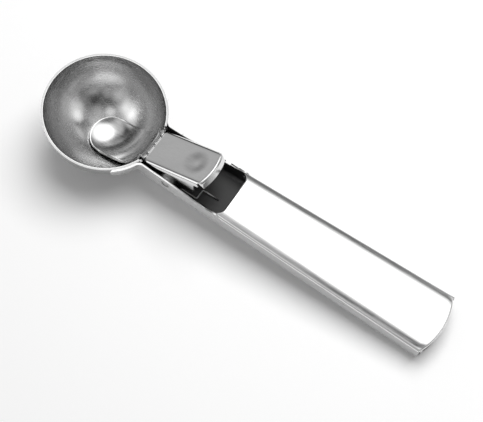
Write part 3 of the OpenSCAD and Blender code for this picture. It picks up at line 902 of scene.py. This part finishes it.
# %% Place the spring wire, with the heights of its bend
stays_below, follows_above = 3.0, 6.2
pivot = on_table @ Vector((pivot_x, 0, pivot_z))
leg_from = pivot + Vector((0, 0, stays_below * MM))
leg_to = pivot + Vector((0, 0, follows_above * MM))
piece("spring_wire", to_mesh(merged_copy("return_spring"), "spring_wire"),
      "return_spring", bends=(tuple(leg_from), tuple(leg_to)))

# %% [markdown]
# ## Floor
# The scoop lies on a wide pale floor that takes its shadow. Diffuse paint alone would look a
# little grey, so the floor glows by a trace where the camera or the steel looks at it. That glow
# lights nothing, because it is only there for those rays.

# %% Lay the floor
floor_tone = 0.93
floor_glow_seen = 0.06
floor_glow_mirrored = 0.16
floor_reach = 3.0

paint = bpy.data.materials.new("studio floor")
paint.use_nodes = True
tree = paint.node_tree
tree.nodes.clear()
path = add(tree, "ShaderNodeLightPath").outputs
glow = math_node(tree, "MULTIPLY", path["Is Camera Ray"], floor_glow_seen)
for ray in ("Is Glossy Ray", "Is Transmission Ray"):
    glow = math_node(tree, "ADD", glow, math_node(tree, "MULTIPLY", path[ray],
                                                  floor_glow_mirrored))
matte = add(tree, "ShaderNodeBsdfDiffuse", {"Color": (floor_tone, floor_tone, floor_tone, 1)})
light = add(tree, "ShaderNodeEmission", {"Strength": glow})
both = add(tree, "ShaderNodeAddShader", {0: matte.outputs[0], 1: light.outputs[0]})
tree.links.new(both.outputs[0], add(tree, "ShaderNodeOutputMaterial").inputs["Surface"])

floor_mesh = bpy.data.meshes.new("floor")
shape = bmesh.new()
bmesh.ops.create_grid(shape, x_segments=1, y_segments=1, size=floor_reach)
shape.to_mesh(floor_mesh)
shape.free()
floor = bpy.data.objects.new("floor", floor_mesh)
scene.collection.objects.link(floor)
floor_mesh.materials.append(paint)
print("floor:", 2 * floor_reach, "m wide")

# %% [markdown]
# ## Studio
# Polished steel is all reflection, so it needs a studio that was designed for it. One soft
# ceiling lamp lights the floor and throws the shadow, but the steel doesn't mirror it. What the
# steel mirrors are round pale cards that stand all round the table: a bright one over the flat of
# the handle, dimmer ones lower down, and darkness between them for the dark bands. Cards as real
# planes would throw light and shadows of their own. In the world's background they are seen by
# the steel alone, while everything else gets an even soft fill.

# %% Hang the ceiling lamp
# An area lamp of this many watts a square metre looks white, with a brightness of 1
AREA_LAMP = 4.0
lamp_turn, lamp_rise, lamp_distance, lamp_side, lamp_brightness = 84, 66, 0.9, 0.7, 4.1


def aim(turn, rise):
    """A direction from its turn round the table, from +X, and its rise, in degrees."""
    turn, rise = math.radians(turn), math.radians(rise)
    return Vector((math.cos(turn) * math.cos(rise), math.sin(turn) * math.cos(rise),
                   math.sin(rise)))


lamp = bpy.data.lights.new("ceiling_lamp", "AREA")
lamp.shape = "RECTANGLE"
lamp.size = lamp.size_y = lamp_side
lamp.energy = lamp_brightness * AREA_LAMP * lamp_side * lamp_side
soft_box = bpy.data.objects.new("ceiling_lamp", lamp)
towards_lamp = aim(lamp_turn, lamp_rise)
soft_box.matrix_world = Matrix.Translation(
    towards_lamp * lamp_distance) @ towards_lamp.to_track_quat("Z", "Y").to_matrix().to_4x4()
soft_box.visible_glossy = False
scene.collection.objects.link(soft_box)
print("ceiling lamp:", round(lamp.energy, 2), "W")

# %% Stand the cards
world = bpy.data.worlds.new("studio")
scene.world = world
world.use_nodes = True
sky = world.node_tree
gaze = add(sky, "ShaderNodeTexCoord").outputs["Generated"]


def card(turn, rise, brightness, inner=5, outer=24):
    """A round pale card in one direction, which fades out between two radii in degrees."""
    near = vector_value(sky, "DOT_PRODUCT", gaze, aim(turn, rise))
    return add(sky, "ShaderNodeMapRange", {
        "Value": near, "From Min": math.cos(math.radians(outer)),
        "From Max": math.cos(math.radians(inner)), "To Max": brightness},
        interpolation_type="SMOOTHSTEP").outputs["Result"]


# Turn and rise of each card's middle in degrees, its brightness, and its own radii if it has any
cards = [
    (88, 68, 1.40, 12, 26), (108, 74, 0.78), (108, 56, 0.30), (180, 74, 0.72), (36, 74, 0.10),
    (-36, 74, 0.10), (0, 56, 0.41), (-36, 56, 0.21), (36, 56, 0.21),
    (-108, 56, 0.50), (-116, 38, 0.80), (-141, 38, 0.99), (-90, 38, 0.36), (64, 38, 0.25),
    (116, 38, 0.15), (141, 38, 0.39), (167, 38, 0.16), (64, 20, 0.85), (85, 20, 0.30),
    (21, 20, 0.74), (0, 20, 0.26), (-42, 20, 0.13), (-64, 20, 0.40), (-85, 20, 0.30),
    (-127, 20, 0.75), (-148, 20, 0.59), (169, 20, 0.28), (-30, 2, 0.66),
    (-60, 63, 0.90, 3, 13), (27, 28, 0.90, 3, 13),
]
mirrored = card(*cards[0])
for size_and_place in cards[1:]:
    mirrored = math_node(sky, "ADD", mirrored, card(*size_and_place))
print("cards:", len(cards))

# %% Share the studio out between the rays
soft_fill = 0.27
path = add(sky, "ShaderNodeLightPath").outputs
strength = add(sky, "ShaderNodeMix", {"Factor": path["Is Glossy Ray"]})
strength.inputs["A"].default_value = soft_fill
sky.links.new(mirrored, strength.inputs["B"])
background = sky.nodes["Background"]
background.inputs["Color"].default_value = (1, 1, 1, 1)
sky.links.new(math_node(sky, "MAXIMUM", strength.outputs["Result"], path["Is Camera Ray"]),
              background.inputs["Strength"])
print("studio ready, with a fill of", soft_fill)
